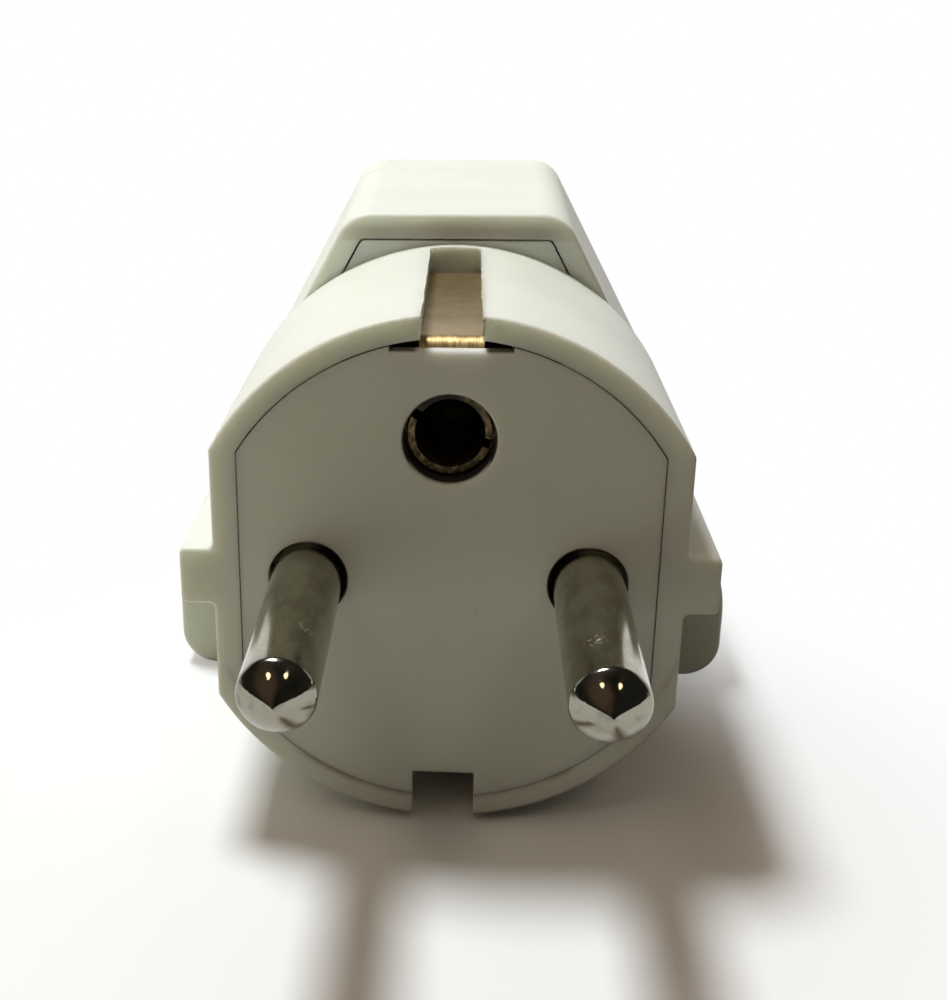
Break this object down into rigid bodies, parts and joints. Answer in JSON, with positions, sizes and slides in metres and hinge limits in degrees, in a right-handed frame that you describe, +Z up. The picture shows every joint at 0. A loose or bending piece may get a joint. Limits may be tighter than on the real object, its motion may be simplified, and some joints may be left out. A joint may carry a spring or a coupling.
{
  "type": "plug adapter",
  "caption": "Travel plug adapter: round earthed plug nose with solid pins and side slots in front, house-shaped body with a universal socket behind.",
  "frame": {"origin": "centre of the plug's face, midway between the pins", "axes": "-Y along the pins, out of the plug's face; +Y back to the socket; +Z up, towards the earth hole"},
  "size_m": [0.048, 0.0814, 0.0396],
  "materials": {
    "housing_plastic": "satin moulded plastic, warm off-white",
    "plate_plastic": "smooth satin plastic, warm off-white",
    "pin_nickel": "nickel plate, dull on the shaft and polished at the tip",
    "contact_brass": "stamped brass, dull",
    "carrier_plastic": "moulded insulating plastic, dark grey",
    "screw_steel": "zinc-plated steel"
  },
  "bodies": {
    "root": {"plug_body": "housing_plastic", "face_plate": "plate_plastic", "pin_left": "pin_nickel", "pin_right": "pin_nickel", "earth_sleeve": "contact_brass", "earth_strap": "contact_brass", "body_shell": "housing_plastic", "socket_cover": "housing_plastic", "contact_carrier": "carrier_plastic", "left_contact": "contact_brass", "right_contact": "contact_brass", "earth_contact": "contact_brass", "cover_screws": "screw_steel"}
  },
  "joints": []
}
